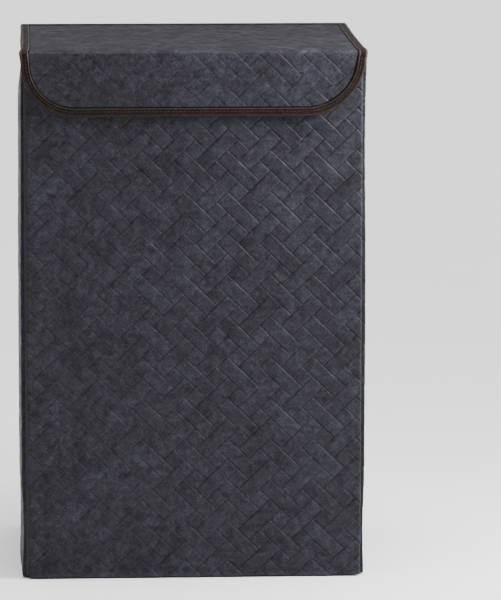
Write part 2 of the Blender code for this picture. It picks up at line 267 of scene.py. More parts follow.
def weave(u_low, u_high, v_low, v_high, phase, strength=evenly):
    """A flat sheet of the weave over a rectangle, with its relief as z, as a bmesh."""
    step_u, step_v = PERIOD_X / 4.0, PERIOD_Z / 4.0
    corners = [((u - phase[0]) / step_u, (phase[1] - v) / step_v)
               for u in (u_low, u_high) for v in (v_low, v_high)]
    a_ends = [(p + q) / 2.0 for p, q in corners]
    b_ends = [(p - q) / 2.0 for p, q in corners]
    count = len(FRACTIONS)

    def lines(ends):
        index = np.arange(math.floor(min(ends)) * count, math.ceil(max(ends)) * count + 1)
        return index // count, index % count

    cell_a, part_a = lines(a_ends)
    cell_b, part_b = lines(b_ends)
    a, b = np.meshgrid(cell_a + FRACTIONS[part_a], cell_b + FRACTIONS[part_b], indexing="ij")
    cell, row = np.meshgrid(cell_a, cell_b, indexing="ij")
    edge_a, edge_b = np.meshgrid(part_a == 0, part_b == 0, indexing="ij")
    height, number, tone = brick(a, b, cell, row)
    lowest = height.copy()
    border = np.zeros(a.shape, bool)
    rubbed = np.zeros(a.shape)             # painted highlight below the lines that run down to the right
    for back_a, back_b in ((1, 0), (0, 1), (1, 1)):
        near = (edge_a | (back_a == 0)) & (edge_b | (back_b == 0))
        other, other_number, _ = brick(a, b, cell - back_a, row - back_b)
        line = near & (other_number != number)
        border |= line
        if (back_a, back_b) == (0, 1):
            rubbed[:, :-1] = line[:, 1:]
        lowest = np.where(near, np.minimum(lowest, other), lowest)
    height = np.where(border, lowest - GROOVE, height)
    u = phase[0] + step_u * (a + b)
    v = phase[1] - step_v * (a - b)
    height = height * strength(u)
    # the painted highlight grows towards the right, the side the light comes from
    rubbed = rubbed * np.clip((strength(u) - 0.80) * 2.6, 0.28, 1.0)

    inside = ((u > u_low - step_u) & (u < u_high + step_u)
              & (v > v_low - step_v) & (v < v_high + step_v))
    keep = inside[:-1, :-1] | inside[1:, :-1] | inside[:-1, 1:] | inside[1:, 1:]
    used, quads = np.unique(grid_quads(a.shape)[keep], return_inverse=True)
    points = np.stack((u, v, height), -1).reshape(-1, 3)[used]
    return as_bmesh(mesh_of("weave", points.tolist(), quads.reshape(-1, 4).tolist(),
                            groove=border.ravel()[used], tone=tone.ravel()[used],
                            rubbed=rubbed.ravel()[used]))


# ---- pieces --------------------------------------------------------------------
SHARP = math.radians(60.0)


def add_piece(name, mesh, look, slot, replaced=(), body=None):
    """Put a finished mesh in the scene, with its rest places kept for its material."""
    obj = add_object(name, mesh)
    mesh.materials.clear()
    mesh.materials.append(looks[look])
    mesh.shade_smooth()
    mesh.set_sharp_from_angle(angle=SHARP)
    rest = mesh.attributes.new("rest", "FLOAT_VECTOR", "POINT")
    rest.data.foreach_set("vector", coordinates(mesh).astype(np.float32).ravel())
    if replaced:
        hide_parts(*replaced)
    if slot == "woven_cover":
        # large faces set the shading, so the bricks stay flat beside their pressed lines
        weighted = obj.modifiers.new("even_shading", 'WEIGHTED_NORMAL')
        weighted.mode = 'FACE_AREA'
        weighted.keep_sharp = True
    if body:
        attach(obj, body)
    return obj


def underside(point):
    """The place below this one on a sheet's flat underside."""
    return Vector((point.x, point.y, -SHEET))


def woven_tray(u_low, u_high, v_low, v_high, depth, phase, plan_round, edge_round, levels=(),
               strength=evenly):
    """The weave wrapped round a board's face and edges, as a closed tray in board space.
    Levels are heights at which its flat inner side is divided, so that it can bend."""
    wrap = edge_round * math.pi / 2.0
    reach = plan_round - edge_round + wrap + depth - edge_round
    bounds = (u_low + plan_round, u_high - plan_round, v_low + plan_round, v_high - plan_round)
    bm = weave(bounds[0] - reach, bounds[1] + reach, bounds[2] - reach, bounds[3] + reach, phase,
               strength)
    start = plan_round - edge_round
    steps = (reach, start, start + wrap / 3.0, start + wrap * 2.0 / 3.0, start + wrap)
    for number, step in enumerate(steps):
        for value, normal in ((bounds[0] - step, (-1, 0, 0)), (bounds[1] + step, (1, 0, 0)),
                              (bounds[2] - step, (0, -1, 0)), (bounds[3] + step, (0, 1, 0))):
            cut_at(bm, (value, value, 0.0), normal, drop=number == 0)

    def wrapped(point):
        u, v, relief = point
        core_u = min(max(u, bounds[0]), bounds[1])
        core_v = min(max(v, bounds[2]), bounds[3])
        out = math.hypot(u - core_u, v - core_v)
        if out <= start:
            return Vector((u, v, relief))
        away = Vector((u - core_u, v - core_v)) / out
        run = min(out, reach) - start
        turn = min(run / edge_round, math.pi / 2.0)
        plan = start + (edge_round + relief) * math.sin(turn)
        drop = edge_round - (edge_round + relief) * math.cos(turn) + max(0.0, run - wrap)
        return Vector((core_u + away.x * plan, core_v + away.y * plan, -drop))

    for vert in bm.verts:
        vert.co = wrapped(vert.co)

    def inwards(point):
        return Vector((min(max(point.x, u_low + SHEET), u_high - SHEET),
                       min(max(point.y, v_low + SHEET), v_high - SHEET), point.z))

    divide(bm, close_sheet(bm, (inwards, underside)), levels)
    return bm


def flat(u, v):
    return np.zeros_like(u)


def swell_of(seed, amount, size):
    return lambda u, v: amount * waves(u, v, seed, size)


SWELL_FADE = 0.02          # a slab's swell grows from nothing over this distance from its edge


def slab(u_low, u_high, v_low, v_high, h_low, h_high, swell=flat, cell=0.010):
    """A closed slab in board space, in cells of about this size; swell(u, v) lifts its face."""
    count_u = max(2, round((u_high - u_low) / cell))
    count_v = max(2, round((v_high - v_low) / cell))
    u, v = np.meshgrid(np.linspace(u_low, u_high, count_u + 1),
                       np.linspace(v_low, v_high, count_v + 1), indexing="ij")
    edge = np.minimum(np.minimum(u - u_low, u_high - u), np.minimum(v - v_low, v_high - v))
    lift = swell(u, v) * smooth(edge / SWELL_FADE)
    top = np.stack((u, v, h_high + lift), -1).reshape(-1, 3)
    bottom = np.stack((u, v, np.full_like(u, h_low)), -1).reshape(-1, 3)
    quads = grid_quads(u.shape).reshape(-1, 4)
    index = np.arange(u.size).reshape(u.shape)
    rim = np.concatenate((index[:, 0], index[-1, 1:], index[-2::-1, -1], index[0, -2:0:-1]))
    before = np.roll(rim, 1)
    sides = np.stack((before, rim, rim + u.size, before + u.size), -1)
    faces = np.concatenate((quads, quads[:, ::-1] + u.size, sides))
    return as_bmesh(mesh_of("slab", np.concatenate((top, bottom)).tolist(), faces.tolist()))


def tube_faces(count, ring, first=0):
    """The faces of a closed tube through rings of points, numbered from first."""
    index = np.arange(count * ring).reshape(count, ring) + first
    after = np.roll(index, -1, axis=1)
    quads = np.stack((index[:-1], index[1:], after[1:], after[:-1]), -1).reshape(-1, 4)
    return [*quads.tolist(), index[0].tolist(), index[-1, ::-1].tolist()]


def tube_of(rows, name, **values):
    """A closed mesh through rows of points, each row a closed ring."""
    rows = np.asarray(rows, float)
    faces = tube_faces(*rows.shape[:2])
    return finish_mesh(as_bmesh(mesh_of(name, rows.reshape(-1, 3).tolist(), faces, **values)), name)


def tape_profile(reach, board):
    """Section of a tape folded over an edge: (inwards from the edge, above the face, edge mark).
    The mark is up to 1 on the lips, which get a painted highlight, and down to -1 in the line
    pressed beside the tape, which gets a painted shadow."""
    face = PROUD * 0.62
    leg = [(reach + 0.0012, -0.0003, -0.5), (reach + 0.0009, 0.00015, -1.0),
           (reach - 0.0003, 0.00015, -1.0), (reach - 0.0006, face * 0.9, 1.0),
           (reach - 0.0014, PROUD, 1.0), (reach - 0.0022, face * 0.8, -0.2),
           (reach - 0.0036, face, 0.0), (reach * 0.5, PROUD * 0.8, 0.0),
           (0.0030, face, 0.0), (0.0018, face * 0.9, -0.1), (0.0010, PROUD, 0.8),
           (-PROUD * 0.55, PROUD * 0.55, 0.6), (-PROUD, -board * 0.2, 0.1)]
    back = [(n, -board - h, flag) for n, h, flag in reversed(leg)]
    inside = [(0.0003, -board + 0.0003, 0.0), (0.0003, -0.0004, 0.0)]
    return leg + [(-PROUD, -board * 0.5, 0.1)] + back + inside


def tape(name, stations, profile, place, wrinkle=0.0, seed=1):
    """Sweep a tape's section along stations (u, v, inwards u, inwards v) in board space."""
    stations = np.asarray(stations, float)
    section = np.asarray(profile, float)
    run = run_along(stations[:, :2])[:, None] + np.zeros(len(section))
    n = section[:, 0] + np.zeros_like(run)
    h = section[:, 1] + np.zeros_like(run)
    board = -section[:, 1].min() / 2.0
    girth = run_along(section[:, :2]) + np.zeros_like(run)
    rough = wrinkle * (waves(run, girth, seed, 0.016) + 0.7 * waves(run, girth, seed + 5, 0.006))
    h = h + np.where(h > -board, 1.0, -1.0) * np.where(n > 0.0, rough, 0.0)
    n = n - np.where(n < 0.0, np.abs(rough), 0.0) * 0.6
    u = stations[:, 0:1] + n * stations[:, 2:3]
    v = stations[:, 1:2] + n * stations[:, 3:4]
    points = place(u.ravel(), v.ravel(), h.ravel())
    return tube_of(points.reshape(len(stations), len(section), 3), name,
                   edge=np.tile(section[:, 2], len(stations)))


def strip(name, path, thickness, x_ends, count, place):
    """A bent strip of cloth: path is its outer side in its own plane, x_ends its two ends."""
    path = np.asarray(path, float)
    fine = np.linspace(0, len(path) - 1, (len(path) - 1) * 4 + 1)
    path = np.stack([catmull(path[:, axis], fine) for axis in (0, 1)], 1)
    tangent = unit(np.gradient(path, axis=0))
    normal = np.stack((-tangent[:, 1], tangent[:, 0]), 1)
    loop = np.concatenate((path, (path + normal * thickness)[::-1]))
    rows = [place(np.full(len(loop), x), *loop.T) for x in np.linspace(*x_ends, count)]
    return tube_of(rows, name)


def catmull(values, at):
    """Smooth curve through evenly numbered values."""
    values = np.concatenate(((2 * values[0] - values[1],), values, (2 * values[-1] - values[-2],)))
    low = np.minimum(np.floor(at).astype(int), len(values) - 4)
    t = at - low
    p0, p1, p2, p3 = (values[low + step] for step in range(4))
    return 0.5 * (2 * p1 + (p2 - p0) * t + (2 * p0 - 5 * p1 + 4 * p2 - p3) * t ** 2
                  + (3 * p1 - p0 - 3 * p2 + p3) * t ** 3)


def stitches(name, places, along, outwards, length, radius):
    """Short rounded thread runs lying on a face, all in one mesh."""
    rings, sides = 5, 6
    t = np.linspace(-1.0, 1.0, rings)
    girth = np.sqrt(np.clip(1.0 - t ** 4, 0.06, 1.0))
    angle = np.arange(sides)[:, None] * 2.0 * math.pi / sides
    points, faces = [], []
    for place, ahead, up in zip(places, along, outwards):
        faces += tube_faces(rings, sides, len(points))
        round_it = np.cos(angle) * np.cross(ahead, up) + np.sin(angle) * up
        for k in range(rings):
            centre = place + ahead * length / 2.0 * t[k] - up * radius * 0.9 * t[k] ** 2
            points.extend((centre + radius * girth[k] * round_it).tolist())
    return finish_mesh(as_bmesh(mesh_of(name, points, faces)), name)


# ---- materials -----------------------------------------------------------------
class Nodes:
    """Short names for making one material's nodes."""

    def __init__(self, name):
        self.material = bpy.data.materials.new(name)
        self.material.use_nodes = True
        self.tree = self.material.node_tree
        self.shader = self.tree.nodes["Principled BSDF"]

    def feed(self, node, inputs):
        for key, value in inputs.items():
            if isinstance(value, bpy.types.NodeSocket):
                self.tree.links.new(value, node.inputs[key])
            else:
                node.inputs[key].default_value = value
        return node

    def node(self, kind, inputs, **settings):
        node = self.tree.nodes.new(kind)
        for key, value in settings.items():
            setattr(node, key, value)
        return self.feed(node, inputs)

    def place(self, carried=False):
        """Where a point was at rest: kept on the mesh, or the object's own space for CAD."""
        if carried:
            return self.node("ShaderNodeTexCoord", {}).outputs["Object"]
        return self.node("ShaderNodeAttribute", {}, attribute_name="rest").outputs["Vector"]

    def value(self, name):
        return self.node("ShaderNodeAttribute", {}, attribute_name=name).outputs["Fac"]

    def height(self, rest):
        return self.node("ShaderNodeSeparateXYZ", {"Vector": rest}).outputs["Z"]

    def noise(self, vector, scale, detail=2.0, rough=0.5, distortion=0.0):
        return self.node("ShaderNodeTexNoise", {"Vector": vector, "Scale": scale, "Detail": detail,
                                                "Roughness": rough, "Distortion": distortion}
                         ).outputs["Fac"]

    def remap(self, value, low, high, to_low=0.0, to_high=1.0):
        node = self.node("ShaderNodeMapRange", {"Value": value, "From Min": low, "From Max": high,
                                                "To Min": to_low, "To Max": to_high})
        return node.outputs["Result"]

    def math(self, operation, *values):
        return self.node("ShaderNodeMath", dict(enumerate(values)), operation=operation).outputs[0]

    def total(self, start, *parts):
        """Sum of values times their weights, counted from a start."""
        for value, weight in parts:
            start = self.math('MULTIPLY_ADD', value, weight, start)
        return start

    def ramp(self, value, *stops):
        """A colour for each value, mixed between (place, colour) stops."""
        node = self.node("ShaderNodeValToRGB", {"Fac": value})
        elements = node.color_ramp.elements
        for number, (place, colour) in enumerate(stops):
            stop = elements[number] if number < 2 else elements.new(place)
            stop.position = place
            stop.color = (*colour, 1.0)
        return node.outputs["Color"]

    def mix(self, factor, a, b):
        a, b = ((*colour, 1.0) if isinstance(colour, tuple) else colour for colour in (a, b))
        return self.node("ShaderNodeMix", {0: factor, 6: a, 7: b}, data_type='RGBA').outputs[2]

    def bump(self, height, strength, distance, under=None):
        inputs = {"Height": height, "Strength": strength, "Distance": distance}
        if under is not None:
            inputs["Normal"] = under
        return self.node("ShaderNodeBump", inputs).outputs["Normal"]

    def finish(self, colour, roughness, normal=None, **fixed):
        inputs = {"Base Color": colour, "Roughness": roughness}
        if normal is not None:
            inputs["Normal"] = normal
        inputs.update((key.replace("_", " "), value) for key, value in fixed.items())
        self.feed(self.shader, inputs)
        return self.material


def cover_look(name):
    """Antiqued blue-grey imitation leather: dark blotches, pale scratches and fine grain.
    Painted shade darkens its pressed lines, and a painted highlight lightens the edges below those
    that run down to the right. A painted floor reflection makes it paler at the walls' hems, and
    painted reflection streaks make its clouds stronger on the lid."""
    n = Nodes(name)
    rest = n.place()
    clouds = n.noise(rest, 22.0, 3.0, 0.6)
    patches = n.noise(rest, 62.0, 4.0, 0.6, 0.7)
    blotches = n.noise(rest, 150.0, 3.0, 0.6, 0.3)
    specks = n.noise(rest, 420.0, 3.0, 0.7)
    grain = n.noise(rest, 1050.0, 3.0, 0.7)
    stains = n.remap(n.noise(rest, 108.0, 3.0, 0.6, 0.6), 0.55, 0.70)
    veins = n.math('ABSOLUTE', n.math('SUBTRACT', n.noise(rest, 48.0, 3.0, 0.55, 1.2), 0.5))
    scratches = n.remap(veins, 0.0, 0.006, 1.0, 0.0)
    # painted floor reflection: paler towards the bottom of the walls
    hem = n.remap(n.height(rest), 0.009, 0.0)
    # painted reflection streaks: stronger clouds on the lid's face
    on_lid = n.remap(n.height(rest), 0.6250, 0.6285)
    painted_lid_streaks = n.math('MULTIPLY', on_lid, n.total(-0.30, (clouds, 0.24), (patches, 0.36)))
    # painted shade darkens the pressed lines; a painted highlight lightens the edges below some of
    # them
    shade = n.total(-1.15, (clouds, 0.28), (patches, 0.52), (blotches, 0.62), (specks, 0.80),
                    (grain, 1.08), (stains, -0.14), (scratches, 0.12), (n.value("tone"), 0.036),
                    (n.value("groove"), -0.08), (n.value("rubbed"), 0.17), (hem, 0.18),
                    (painted_lid_streaks, 1.0))
    colour = n.ramp(shade, (0.0, (0.0033, 0.0032, 0.0038)), (0.33, (0.0111, 0.0109, 0.0132)),
                    (0.5, (0.0177, 0.0174, 0.0221)), (0.68, (0.0274, 0.0269, 0.0356)),
                    (1.0, (0.0510, 0.0502, 0.0640)))
    cells = n.node("ShaderNodeTexVoronoi", {"Vector": rest, "Scale": 620.0},
                   feature='DISTANCE_TO_EDGE').outputs["Distance"]
    creases = n.remap(cells, 0.0, 0.12)
    normal = n.bump(n.noise(rest, 130.0, 4.0, 0.6), 0.50, 0.0006)
    normal = n.bump(creases, 0.30, 0.00012, normal)
    normal = n.bump(grain, 0.35, 0.00010, normal)
    rough = n.remap(n.noise(rest, 95.0, 3.0, 0.6), 0.3, 0.7, 0.40, 0.60)
    return n.finish(colour, rough, normal, Specular_IOR_Level=0.10)


def tape_look(name, light):
    """Dark brown imitation leather tape, with a painted highlight on its lips, strongest on the
    lid, and a painted shadow in the line pressed beside it.
    """
    n = Nodes(name)
    rest = n.place()
    mottle = n.remap(n.noise(rest, 130.0, 4.0, 0.6, 0.8), 0.38, 0.66)
    highlight_noise = n.remap(n.noise(rest, 260.0, 4.0, 0.7), 0.42, 0.70)
    colour = n.mix(mottle, (0.0100 * light, 0.0054 * light, 0.0044 * light),
                   (0.0200 * light, 0.0118 * light, 0.0098 * light))
    # painted highlight on the tape's lips: uneven by a noise, and strongest near the top, on the
    # lid
    rubbed = n.math('MULTIPLY', n.remap(highlight_noise, 0.0, 1.0, 0.45, 1.0),
                    n.remap(n.height(rest), 0.610, 0.627, 0.22, 1.0))
    edge = n.math('MULTIPLY', n.remap(n.value("edge"), 0.0, 1.0), rubbed)
    colour = n.mix(edge, colour, (0.0900, 0.0720, 0.0720))
    # painted shadow: near black in the line pressed beside the tape and in its smaller dips
    colour = n.mix(n.remap(n.value("edge"), 0.0, -1.0), colour, (0.0020, 0.0016, 0.0018))
    dark = n.remap(n.noise(rest, 330.0, 3.0, 0.6), 0.56, 0.72)
    colour = n.mix(n.math('MULTIPLY', dark, 0.6), colour, (0.0025, 0.0018, 0.0018))
    normal = n.bump(n.noise(rest, 420.0, 4.0, 0.6), 0.45, 0.0004)
    normal = n.bump(n.noise(rest, 1700.0, 2.0, 0.5), 0.30, 0.0001, normal)
    rough = n.remap(n.noise(rest, 210.0, 3.0, 0.6), 0.3, 0.7, 0.38, 0.60)
    return n.finish(colour, rough, normal, Specular_IOR_Level=0.07)


def cloth_look(name, base, pale):
    """Non-woven lining: dull felted fibres with a small pressed dot pattern."""
    n = Nodes(name)
    rest = n.place()
    fibres = n.noise(rest, 700.0, 4.0, 0.75, 2.2)
    clouds = n.remap(n.noise(rest, 45.0, 3.0, 0.6), 0.35, 0.65)
    dots = n.node("ShaderNodeTexVoronoi", {"Vector": rest, "Scale": 480.0, "Randomness": 0.15}
                  ).outputs["Distance"]
    pressed = n.remap(dots, 0.10, 0.34)
    colour = n.mix(n.remap(fibres, 0.35, 0.68), base, pale)
    colour = n.mix(n.math('MULTIPLY', clouds, 0.35), colour, base)
    colour = n.mix(n.remap(pressed, 0.0, 1.0, 0.40, 0.0), colour, tuple(c * 0.5 for c in base))
    normal = n.bump(pressed, 0.45, 0.00025)
    normal = n.bump(fibres, 0.40, 0.0003, normal)
    return n.finish(colour, 0.93, normal, Specular_IOR_Level=0.25, Sheen_Weight=0.15,
                    Sheen_Roughness=0.6)


def board_look(name):
    """Grey-brown fibre board, for the boards inside the covers."""
    n = Nodes(name)
    place = n.place(carried=True)
    fibres = n.noise(place, 420.0, 5.0, 0.7, 1.2)
    flecks = n.remap(n.noise(place, 900.0, 2.0, 0.6), 0.62, 0.74)
    colour = n.mix(n.remap(fibres, 0.3, 0.7), (0.190, 0.150, 0.110), (0.300, 0.245, 0.180))
    colour = n.mix(n.math('MULTIPLY', flecks, 0.6), colour, (0.090, 0.070, 0.055))
    return n.finish(colour, 0.9, n.bump(fibres, 0.4, 0.0003))


def thread_look(name, base):
    n = Nodes(name)
    rest = n.place()
    twist = n.node("ShaderNodeTexWave", {"Vector": rest, "Scale": 900.0, "Distortion": 1.5},
                   bands_direction='DIAGONAL').outputs["Fac"]
    colour = n.mix(twist, base, tuple(c * 1.7 for c in base))
    return n.finish(colour, 0.6, n.bump(twist, 0.4, 0.0001))


def floor_look(name):
    n = Nodes(name)
    place = n.place(carried=True)
    tint = n.remap(n.noise(place, 3.0, 2.0), 0.3, 0.7)
    return n.finish(n.mix(tint, (0.90, 0.90, 0.90), (0.92, 0.92, 0.92)), 0.9)


looks = {
    "cover": cover_look("woven_cover_look"),
    "tape": tape_look("binding_look", 0.75),
    "rim_tape": tape_look("rim_binding_look", 1.4),
    "lining": cloth_look("lining_look", (0.020, 0.021, 0.024), (0.046, 0.047, 0.053)),
    "floor_cloth": cloth_look("floor_panel_look", (0.022, 0.022, 0.024), (0.050, 0.050, 0.054)),
    "hinge": cloth_look("hinge_look", (0.010, 0.010, 0.013), (0.024, 0.024, 0.030)),
    "board": board_look("board_look"),
    "thread": thread_look("thread_look", (0.0062, 0.0043, 0.0038)),
}

# ---- board spaces --------------------------------------------------------------
PINCH_START = WALL_TOP - 0.062    # the side walls draw in to their rims above this height
PINCH_END = WALL_TOP - 0.006
RIM_OUT = {-1: 0.2000, 1: 0.2020}  # outer faces of the side walls at their rims


def pinch(v):
    return smooth((v - PINCH_START) / (PINCH_END - PINCH_START))


FOOT_WIDTH = 0.003         # of the bottom corners that the front wall stands on
FOOT_SLOPE = 0.006
HEM_FADE = 0.05            # the hem's lift dies out over this height


def hem_lift(u, v):
    """The front wall stands on its two bottom corners; between them its hem is higher."""
    inner = smooth((HALF_WIDTH - FOOT_WIDTH - np.abs(u)) / FOOT_SLOPE)
    return HEM_GAP * inner * (1.0 - smooth(v / HEM_FADE))


def front_place(u, v, h):
    return np.stack((u, -HALF_DEPTH - h, v + hem_lift(u, v)), -1)


def back_place(u, v, h):
    return np.stack((-u, HALF_DEPTH + h, v), -1)


def side_place(side, end):
    """Board space of one half of a side wall.  u is counted from the fold in the middle."""
    turn = side * end * TILT
    along = np.array((math.sin(turn) * end, -math.cos(turn) * end))
    outwards = np.array((math.cos(turn) * side, math.sin(turn) * side))
    corner = np.array((side * CORNER.x, end * CORNER.y))

    def place(u, v, h):
        run = HALF_LENGTH - side * end * u
        plan = corner + np.outer(run, along) + np.outer(WALL + h, outwards)
        face = CORNER_OUT + (FOLD_OUT - CORNER_OUT) * (1.0 - np.abs(plan[:, 1]) / CORNER.y)
        pull = (face - RIM_OUT[side]) * pinch(v)
        return np.stack((plan[:, 0] - side * pull, plan[:, 1], v), -1)

    return place


# ---- what every wall has -----------------------------------------------------------
WALL_SWELL = 0.00025       # the walls aren't quite flat: they swell by this much
INSET = SHEET + 0.0003     # a board ends this far inside its cover
BOARD_DEPTH = 0.0033       # a board's inner face lies this far under its cover's sheet
LINING = 0.0008
TOUCH = 0.00002            # keeps the lining off the plane of the cover's edge


def add_cover(name, tray, place, seed):
    def swelled(u, v, h):
        return place(u, v, h + WALL_SWELL * (waves(u, v, seed, 0.17) - 1.0))

    add_piece(name + "_woven_cover", placed(tray, name, swelled), "cover", "woven_cover",
              (name + "_cover",), name)


def add_board(name, place, ends, gap):
    """A wall's board, this far under its cover's sheet."""
    core = slab(ends[0] + INSET, ends[1] - INSET, HEM_GAP + INSET, WALL_TOP - INSET,
                -SHEET - BOARD_DEPTH, -SHEET - gap, cell=0.012)
    add_piece(name + "_inner_board", placed(core, name, place), "board", "board",
              (name + "_board",), name)


def add_lining(name, place, ends, bottom, top, seed):
    """The cloth on a wall's inner side; its h stands out into the hamper."""
    def turned(u, v, h):
        return place(u, v, -WALL + TOUCH - LINING - h)

    thin = slab(*ends, bottom, top, -LINING, 0.0, swell_of(seed, WALL_SWELL, 0.11))
    add_piece(name + "_lining_cloth", placed(thin, name, turned), "lining", "lining",
              (name + "_lining",), name)


def add_rim(name, place, stations, wrinkle, seed):
    tube = tape(name, stations, tape_profile(RIM_REACH, WALL), place, wrinkle, seed)
    add_piece(name + "_rim_tape", tube, "rim_tape", "edge_binding", (name + "_rim_binding",), name)


# ---- front and back walls --------------------------------------------------------
END_ROUND = 0.0027          # the front and back walls' edges are softly rounded
END_PLAN_ROUND = 0.0070
# their covers end this far inside the boards' corners, at their u-low and u-high ends
END_INSET = {"front": (0.0038, 0.0015), "back": (0.0015, 0.0015)}


def end_wall(name, place, phase, seed):
    ends = (END_INSET[name][0] - HALF_WIDTH, HALF_WIDTH - END_INSET[name][1])
    tray = woven_tray(*ends, 0.0, WALL_TOP, WALL, phase, END_PLAN_ROUND, END_ROUND,
                      strength=deeper_to_the_right(0.95, 1.22, -0.14, 0.20))
    add_cover(name, tray, place, seed)
    add_board(name, place, ends, 0.0006)
    low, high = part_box(name + "_lining")
    add_lining(name, place, (low.x, high.x), low.z, high.z, seed + 3)
    stations = [(u, WALL_TOP, 0.0, -1.0) for u in np.linspace(-HALF_WIDTH, HALF_WIDTH, 101)]
    add_rim(name, place, stations, 0.00018, seed + 9)


end_wall("front", front_place, FRONT_PHASE, 11)
end_wall("back", back_place, BACK_PHASE, 23)


# ---- side walls ------------------------------------------------------------------
SIDE_ROUND = 0.0016
SIDE_PLAN_ROUND = 0.0030
SIDE_START = -0.0020        # a half reaches this far past its corner axis
SIDE_END = HALF_LENGTH - 0.0012
TAIL = 0.55 * (WALL_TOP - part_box("left_front_rim_binding")[0].z)   # shown shorter than in CAD
BELLY = {-1: 0.0024, 1: 0.0003}     # of the front and rear halves, which still fold flat


def belly(side, end):
    """How far one half's cover stands out from its board, most of all at mid-depth."""
    def swell(u, v):
        run = HALF_LENGTH - side * end * u
        foot = 0.35 + 0.65 * smooth(np.abs(v - 0.055) / 0.075)
        height = foot * (1.0 - 0.55 * smooth((v - 0.33) / 0.20))
        return BELLY[end] * height * (0.15 + 0.85 * smooth((HALF_LENGTH - run) / 0.030))
    return swell


def side_half(name, side, end, phase, seed):
    sign = side * end                        # u falls towards the corner when this is +1
    place = side_place(side, end)
    swell = belly(side, end)

    def bellied(u, v, h):
        return place(u, v, h + np.where(h > -WALL * 0.6, swell(u, v), 0.0))

    ends = sorted(sign * (HALF_LENGTH - run) for run in (SIDE_START, SIDE_END))
    levels = np.linspace(PINCH_START, PINCH_END, 8)
    tray = woven_tray(*ends, HEM_GAP, WALL_TOP, WALL, phase, SIDE_PLAN_ROUND, SIDE_ROUND, levels)
    add_cover(name, tray, bellied, seed)
    add_board(name, place, ends, 0.0003)
    add_lining(name, place, (ends[0] + INSET, ends[1] - INSET), HEM_GAP + INSET,
               WALL_TOP - INSET, seed + 3)

    corner_u = sign * (HALF_LENGTH - SIDE_START)
    fold_u = sign * (HALF_LENGTH - SIDE_END + 0.0006)
    stations = [(corner_u, v, -sign, 0.0)
                for v in np.linspace(WALL_TOP - TAIL, WALL_TOP - 0.002, 9)]
    stations.append((corner_u, WALL_TOP, -sign, -1.0))
    stations += [(u, WALL_TOP, 0.0, -1.0) for u in np.linspace(corner_u, fold_u, 45)[1:]]
    add_rim(name, place, stations, 0.00032, seed + 9)


side_half("left_rear", -1, 1, LEFT_PHASE, 31)
side_half("left_front", -1, -1, LEFT_PHASE, 37)
side_half("right_front", 1, -1, RIGHT_PHASE, 41)
side_half("right_rear", 1, 1, RIGHT_PHASE, 47)


# ---- hinge cloths at the corners and folds -------------------------------------------
HINGE_CLOTH = 0.0007        # its thickness
HINGE_FOOT = HEM_GAP + 0.003
HINGE_HEAD = WALL_TOP - 0.001
HALF_UP = 0.3               # any height on an upright joint's axis


def corner_path(side, end, points):
    """Plan places from (outwards, towards the side's middle) distances from a corner axis."""
    return [(side * (CORNER.x + out), end * (CORNER.y - run)) for out, run in points]


def upright(x, y, z):
    return np.stack((y, z, x), -1)


# plan places of a corner's cloth, outwards and towards the side wall's middle
WALL_PART = ((0.0012, -0.0064), (0.0000, -0.0056), (-0.0006, -0.0040), (-0.0007, -0.0020))
HALF_PART = ((-0.0004, 0.0), (-0.0006, 0.0020), (-0.0007, 0.0060), (-0.0007, 0.0100))


def corner_strip(name, side, end, points, node, body=None):
    mesh = strip(name, corner_path(side, end, points), HINGE_CLOTH * side * end,
                 (HINGE_FOOT, HINGE_HEAD), 40, upright)
    return add_piece(name, mesh, "hinge", "seam", (node,), body)


def corner_hinge(name, side, end):
    piece = corner_strip(name + "_hinge", side, end, WALL_PART + HALF_PART, name + "_seam")
    start, stop = corner_path(side, end, ((0.0, -0.0030), (0.0, 0.0010)))
    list(start)
    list(stop)
    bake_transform(piece)


def fold_hinge(name, side, first):
    """The cloth in the middle of a side wall, bent inwards into a small pleat."""
    points = ((0.0017, 0.0034), (0.0030, 0.0020), (0.0029, 0.0010), (0.0033, 0.0),
              (0.0029, -0.0010), (0.0030, -0.0020), (0.0017, -0.0034))
    path = [(side * (FOLD.x - depth), y) for depth, y in points]
    mesh = strip(name + "_hinge", path, -HINGE_CLOTH * side, (HINGE_FOOT, HINGE_HEAD - 0.004),
                 40, upright)
    points = coordinates(mesh)
    points[:, 0] -= side * (FOLD_OUT - RIM_OUT[side]) * pinch(points[:, 2])
    set_coordinates(mesh, points)
    piece = add_piece(name + "_hinge", mesh, "cover", "seam", (name + "_seam",))
    ends = ((0.0, 0.0016, HALF_UP), (0.0, -0.0016, HALF_UP))
    if first.endswith("front"):
        ends = ends[::-1]
    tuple(ends[0])
    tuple(ends[1])
    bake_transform(piece)


corner_hinge("left_rear_corner", -1, 1)
corner_hinge("left_front_corner", -1, -1)
corner_hinge("right_front_corner", 1, -1)
# at the open pivot each body keeps its own part of the cloth
for part, points, body in (("wall", WALL_PART, "back"), ("fold", HALF_PART, "right_rear")):
    corner_strip(f"right_rear_corner_hinge_{part}_side", 1, 1, points, "right_rear_corner_seam",
                 body)
fold_hinge("left_fold", -1, "left_rear")
fold_hinge("right_fold", 1, "right_front")


# ---- floor panel -------------------------------------------------------------------
FLOOR_PANEL = 0.0010        # the panel with its cloth; the walls' hems pass over it


def as_it_is(x, y, z):
    return np.stack((x, y, z), -1)


def floor_place(u, v, h):
    return np.stack((u, v, BASE_LOW.z + FLOOR_PANEL + h), -1)


